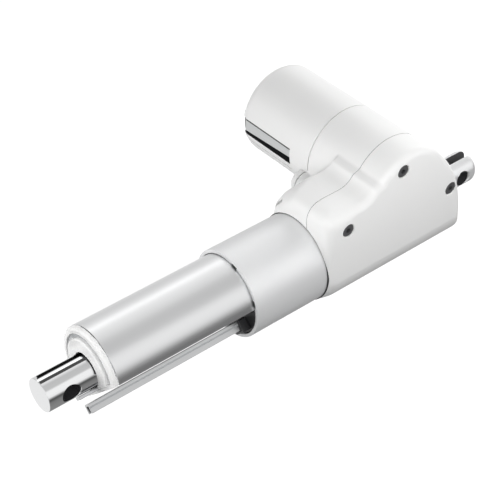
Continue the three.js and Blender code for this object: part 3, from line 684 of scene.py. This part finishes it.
clevis = lathe([(0, CLEVIS_END),
                *arc(ROD_R - CLEVIS_ROUND, CLEVIS_END + CLEVIS_ROUND, CLEVIS_ROUND, 270, 360, 16),
                (ROD_R, CLEVIS_COLLAR_REAR), (CLEVIS_COLLAR_R, CLEVIS_COLLAR_REAR),
                (CLEVIS_COLLAR_R, CLEVIS_COLLAR_FRONT), (ROD_R, CLEVIS_COLLAR_FRONT),
                (ROD_R, CLEVIS_FRONT), (0, CLEVIS_FRONT)], sides=128)
cut(clevis, cross_hole(0, 7, 8.6))
cut(clevis, box(CLEVIS_END - 1, FORK_SLOT_DEPTH, -FORK_SLOT_HALF, FORK_SLOT_HALF, -12, 12))
piece(clevis, "rear_fork", "root", "steel", bright_steel, "rear_clevis")
# The fork's pin hole wall is painted near black: painted shade.
second_look(clevis, painted_bore_shade, shaded_bore_face(0))
# The fork slot's inner faces are painted dark: painted shade in the slot.
second_look(clevis, dark_screw_and_slot_shade, lambda p, n: abs(n.y) > 0.9 and abs(p.y) < FORK_SLOT_HALF + 0.2)

# ------------------------------------------------------------------ pieces kept as the CAD made them
kept = {
    copper: ["winding_front", "winding_rear", "commutator"],
    bronze: ["worm_wheel"],
    magnet: ["magnet_1", "magnet_2", "brush_1", "brush_2"],
    board: ["switch_board"],
    black_plastic_and_shade: ["limit_switch_rear", "limit_switch_front", "motor_end_plate"],
    grey: ["drive_nut", "spindle_bush"],
    steel: ["spindle", "worm_shaft", "motor_can", "armature_core"],
    ground: ["spindle_bearing_rear", "spindle_bearing_front", "motor_bearing_front", "motor_bearing_rear",
             "worm_bearing"],
}
for look, names in kept.items():
    for name in names:
        nodes[name].data.materials.clear()
        nodes[name].data.materials.append(look)

# ------------------------------------------------------------------ stage and light
FLOOR_Z = -80
floor_mesh = bpy.data.meshes.new("floor")
floor_half = 4
floor_corners = [(x, y, FLOOR_Z * MM) for x, y in ((-floor_half, -floor_half), (floor_half, -floor_half),
                                                 (floor_half, floor_half), (-floor_half, floor_half))]
floor_mesh.from_pydata(floor_corners, [], [(0, 1, 2, 3)])
floor = bpy.data.objects.new("floor", floor_mesh)
scene.collection.objects.link(floor)
floor_paint = material("floor_paint", (0.3, 0.3, 0.3), roughness=0.8, vary=0.004, vary_scale=3, bump=0,
                       specular=0)
paint_tree = floor_paint.node_tree
paint = paint_tree.nodes["Principled BSDF"]
paint.inputs["Emission Color"].default_value = (1, 1, 1, 1)
looked_at = paint_tree.nodes.new("ShaderNodeLightPath")
glow = paint_tree.nodes.new("ShaderNodeMath")
glow.operation = "MULTIPLY"
FLOOR_GLOW = 0.8
glow.inputs[1].default_value = FLOOR_GLOW
paint_tree.links.new(looked_at.outputs["Is Camera Ray"], glow.inputs[0])
paint_tree.links.new(glow.outputs["Value"], paint.inputs["Emission Strength"])
floor_mesh.materials.append(floor_paint)
floor.visible_glossy = False

# The studio is two bands of cards round the X axis, given as (degrees from +Y towards +Z, brightness).
# One stands behind the housing, and the tubes and the rod mirror it. The other stands in front of the rod.
# Camera rays see plain white, and diffuse rays see the cards dimmed.
REAR_CARDS = [(-180, 0.68), (-170, 0.7), (-150, 0.88), (-128, 0.7), (-105, 0.25), (-60, 0.24), (-30, 0.2),
              (-16, 0.1), (-9, 0.1), (-1, 0.4), (6, 0.85), (20, 0.95), (42, 0.95), (54, 0.58), (84, 0.56),
              (98, 0.8), (124, 0.95), (147, 0.9), (166, 0.72), (180, 0.68)]
FRONT_CARDS = [(-180, 0.3), (-158, 0.85), (-110, 0.9), (-85, 0.35), (-60, 0.25), (-20, 0.3), (0, 0.6),
               (30, 0.95), (70, 0.75), (110, 0.45), (150, 0.25), (180, 0.25)]
world = bpy.data.worlds.new("studio")
scene.world = world
world.use_nodes = True
tree = world.node_tree
background = tree.nodes["Background"]
direction = tree.nodes.new("ShaderNodeTexCoord")
split = tree.nodes.new("ShaderNodeSeparateXYZ")
around = tree.nodes.new("ShaderNodeMath")
around.operation = "ARCTAN2"
share = tree.nodes.new("ShaderNodeMapRange")
share.inputs["From Min"].default_value = -math.pi
share.inputs["From Max"].default_value = math.pi
tree.links.new(direction.outputs["Generated"], split.inputs["Vector"])
tree.links.new(split.outputs["Z"], around.inputs[0])
tree.links.new(split.outputs["Y"], around.inputs[1])
tree.links.new(around.outputs["Value"], share.inputs["Value"])


def card_band(cards):
    """A colour ramp round the X axis from (degrees, brightness) pairs."""
    band = tree.nodes.new("ShaderNodeValToRGB")
    stops = [((degrees + 180) / 360, value) for degrees, value in cards]
    for position, _ in stops[1:-1]:
        band.color_ramp.elements.new(position)
    for element, (position, value) in zip(band.color_ramp.elements, stops):
        element.position = position
        element.color = (value, value, value, 1)
    tree.links.new(share.outputs["Result"], band.inputs["Fac"])
    return band


BAND_BLEND = 0.25
DIFFUSE_SHARE = 0.16
in_front = tree.nodes.new("ShaderNodeMapRange")
in_front.inputs["From Min"].default_value = -BAND_BLEND
in_front.inputs["From Max"].default_value = BAND_BLEND
tree.links.new(split.outputs["X"], in_front.inputs["Value"])
studio = tree.nodes.new("ShaderNodeMix")
studio.data_type = "RGBA"
tree.links.new(in_front.outputs["Result"], studio.inputs["Factor"])
tree.links.new(card_band(REAR_CARDS).outputs["Color"], studio.inputs["A"])
tree.links.new(card_band(FRONT_CARDS).outputs["Color"], studio.inputs["B"])
seen = tree.nodes.new("ShaderNodeLightPath")
choose = tree.nodes.new("ShaderNodeMix")
choose.data_type = "RGBA"
choose.inputs["B"].default_value = (1, 1, 1, 1)
dimmed = tree.nodes.new("ShaderNodeMapRange")
dimmed.inputs["To Min"].default_value = 1
dimmed.inputs["To Max"].default_value = DIFFUSE_SHARE
tree.links.new(seen.outputs["Is Diffuse Ray"], dimmed.inputs["Value"])
tree.links.new(dimmed.outputs["Result"], background.inputs["Strength"])
tree.links.new(studio.outputs["Result"], choose.inputs["A"])
tree.links.new(seen.outputs["Is Camera Ray"], choose.inputs["Factor"])
tree.links.new(choose.outputs["Result"], background.inputs["Color"])


def softbox(name, location, aim, width, length, brightness, mirrored=False):
    light = bpy.data.lights.new(name, "AREA")
    light.shape = "RECTANGLE"
    light.size, light.size_y = width, length
    light.energy = brightness * math.pi * width * length
    obj = bpy.data.objects.new(name, light)
    obj.location = location
    obj.rotation_euler = (Vector(aim) - Vector(location)).to_track_quat("-Z", "Y").to_euler()
    obj.visible_camera = False
    obj.visible_glossy = mirrored
    scene.collection.objects.link(obj)


softbox("strip_box", (-0.3, -0.8, 0.75), (-0.3, 0, 0), 2.0, 0.24, 0.5, mirrored=True)
softbox("key_box", (0.85, -0.35, 0.25), (0.12, 0, 0), 0.6, 0.6, 4.4)
softbox("shelf_box", (0.12, 0.17, 0.13), (0.12, 0, 0), 0.9, 0.1, 3.2)
softbox("rear_box", (-0.45, -0.3, 0.27), (0.05, 0, 0), 0.5, 0.5, 5.4)


def dark_card(name, glow, corners):
    """A small card, seen only in mirror-like surfaces, that puts a dark line on the retracted rod."""
    look = material(name, (0.01, 0.01, 0.01), roughness=0.9, bump=0, specular=0)
    shader = look.node_tree.nodes["Principled BSDF"]
    shader.inputs["Emission Color"].default_value = (1, 1, 1, 1)
    shader.inputs["Emission Strength"].default_value = glow
    card = make(name, corners, [(0, 1, 2, 3)])
    card.data.materials.append(look)
    card.visible_camera = False
    card.visible_diffuse = False
    card.visible_shadow = False


dark_card("side_card", 0.0, [(262, -15, 5), (296, -15, 5), (296, -15, 16.5), (262, -15, 16.5)])
dark_card("top_card", 0.07, [(262, -6, 18), (300, -6, 18), (300, 0, 18), (262, 0, 18)])

# ------------------------------------------------------------------ camera
# The camera looks back along the part from above its rod end, on the cover's side.
azimuth, elevation, roll = math.radians(50.96), math.radians(39.79), math.radians(-0.585)
level = math.cos(elevation)
back = Vector((level * math.cos(azimuth), level * math.sin(azimuth), math.sin(elevation)))
right = Vector((-math.sin(azimuth), math.cos(azimuth), 0))
up = back.cross(right)
tilted_right = right * math.cos(roll) + up * math.sin(roll)
tilted_up = up * math.cos(roll) - right * math.sin(roll)
camera_data = bpy.data.cameras.new("camera")
camera_data.sensor_width = 36
camera_data.lens = 106.9
camera_data.shift_x = -0.007
camera_data.shift_y = 0.0077
camera = bpy.data.objects.new("camera", camera_data)
camera.rotation_mode = "QUATERNION"
camera.location = Vector((558.4, 493.7, 548.1)) * MM
axes = [tilted_right, tilted_up, back]
camera.rotation_quaternion = Matrix([[a[i] for a in axes] for i in range(3)]).to_quaternion()
scene.collection.objects.link(camera)
scene.camera = camera
scene.view_settings.view_transform = "Standard"
